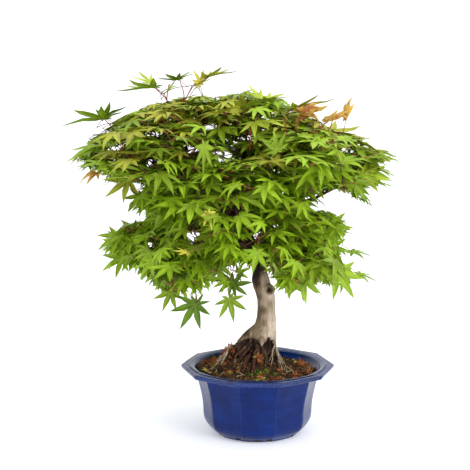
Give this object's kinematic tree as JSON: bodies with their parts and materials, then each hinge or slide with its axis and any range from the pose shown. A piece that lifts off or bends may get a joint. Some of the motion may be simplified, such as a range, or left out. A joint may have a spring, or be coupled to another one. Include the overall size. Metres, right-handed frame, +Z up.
{
  "type": "bonsai",
  "caption": "Japanese maple bonsai with a leaning trunk, surface roots and a spreading leafy crown, in a flared blue-glazed faceted pot.",
  "frame": {"origin": "middle of the pot's flat underside", "axes": "+Z up along the pot's axis, -Y towards the front, +X to the right as seen from the front"},
  "size_m": [0.462, 0.3962, 0.5217],
  "materials": {
    "pot_glaze": "glossy cobalt-blue glaze",
    "trunk_bark": "smooth grey-beige bark",
    "bough_bark": "dark grey-brown bark",
    "soil": "moist granular soil with leaf litter",
    "leaves": "matt green leaves"
  },
  "bodies": {
    "root": {"pot": "pot_glaze", "trunk": "trunk_bark", "soil": "soil", "bough_top_left": "bough_bark", "bough_top_right": "bough_bark", "bough_left_high": "bough_bark", "bough_left_high_front": "bough_bark", "bough_left_high_back": "bough_bark", "bough_right_high": "bough_bark", "bough_right_high_front": "bough_bark", "bough_right_high_back": "bough_bark", "bough_middle_front": "bough_bark", "bough_middle_back": "bough_bark", "bough_left_low": "bough_bark", "bough_left_low_front": "bough_bark", "bough_right_low": "bough_bark", "bough_right_low_front": "bough_bark", "bough_back_low_left": "bough_bark", "bough_back_low_right": "bough_bark", "foliage_top_middle": "leaves", "foliage_top_left": "leaves", "foliage_top_right": "leaves", "foliage_left_high": "leaves", "foliage_left_high_front": "leaves", "foliage_left_high_back": "leaves", "foliage_right_high": "leaves", "foliage_right_high_front": "leaves", "foliage_right_high_back": "leaves", "foliage_middle_front": "leaves", "foliage_middle_back": "leaves", "foliage_left_low": "leaves", "foliage_left_low_front": "leaves", "foliage_right_low": "leaves", "foliage_right_low_front": "leaves", "foliage_back_low_left": "leaves", "foliage_back_low_right": "leaves"}
  },
  "joints": []
}
